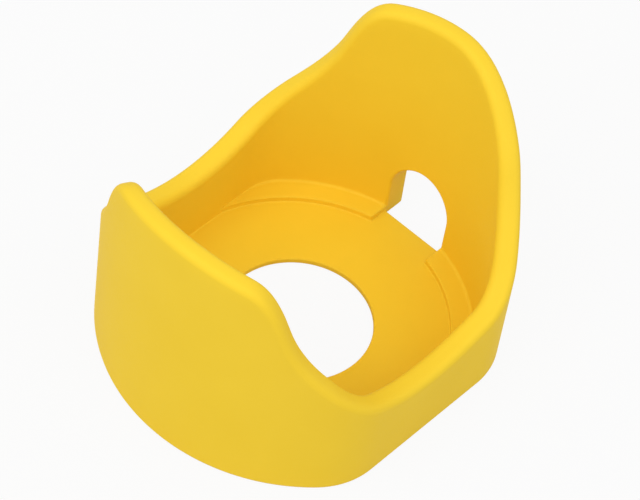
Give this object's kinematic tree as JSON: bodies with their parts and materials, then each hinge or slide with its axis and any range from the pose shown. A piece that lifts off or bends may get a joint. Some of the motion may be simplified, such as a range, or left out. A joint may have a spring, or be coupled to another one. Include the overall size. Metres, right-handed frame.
{
  "type": "emergency stop button shroud",
  "caption": "Oblong moulded guard cup for a panel push button, with two tall curved end walls, low side valleys, a round mounting hole, a disc recess and an arched drain opening.",
  "frame": {"origin": "mounting hole's axis at the underside of the floor, which rests on the panel", "axes": "+Z out of the panel towards the operator, +Y towards the rear lobe with the opening, X from side valley to side valley"},
  "size_m": [0.051, 0.059, 0.0416],
  "materials": {
    "shroud_plastic": "satin warning yellow, moulded through",
    "gasket_rubber": "matt black"
  },
  "bodies": {
    "root": {"shroud_body": "shroud_plastic", "panel_gasket": "gasket_rubber"}
  },
  "joints": []
}
